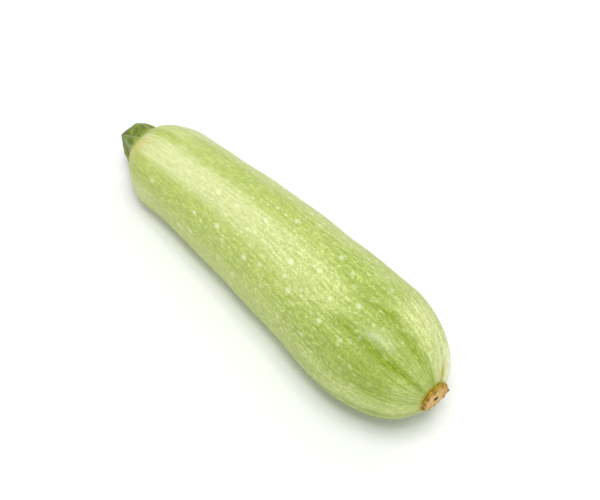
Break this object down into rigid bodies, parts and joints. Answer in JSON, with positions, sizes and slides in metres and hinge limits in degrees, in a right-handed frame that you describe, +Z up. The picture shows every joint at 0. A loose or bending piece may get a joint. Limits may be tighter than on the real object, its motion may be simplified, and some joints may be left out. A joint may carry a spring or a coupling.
{
  "type": "zucchini",
  "caption": "Pale green zucchini, soft ribbed and speckled, with a short cut stem and a corky blossom scar, lying on its belly as fresh produce for a kitchen, shop or market scene.",
  "frame": {"origin": "middle of the bounding box's bottom face, on the ground under the belly", "axes": "+X along the fruit from the stem to the blossom end, +Z up"},
  "size_m": [0.1996, 0.0594, 0.0589],
  "materials": {
    "skin": "satin waxy fruit skin, pale green with greener bands along its length and dense whitish speckles",
    "stem": "matt dark green stalk, paler along its ridges and fibrous on its cut",
    "scar": "dry tan cork with a darker brown ragged rim"
  },
  "bodies": {
    "root": {"fruit": "skin", "stem": "stem", "blossom_scar": "scar"}
  },
  "joints": []
}
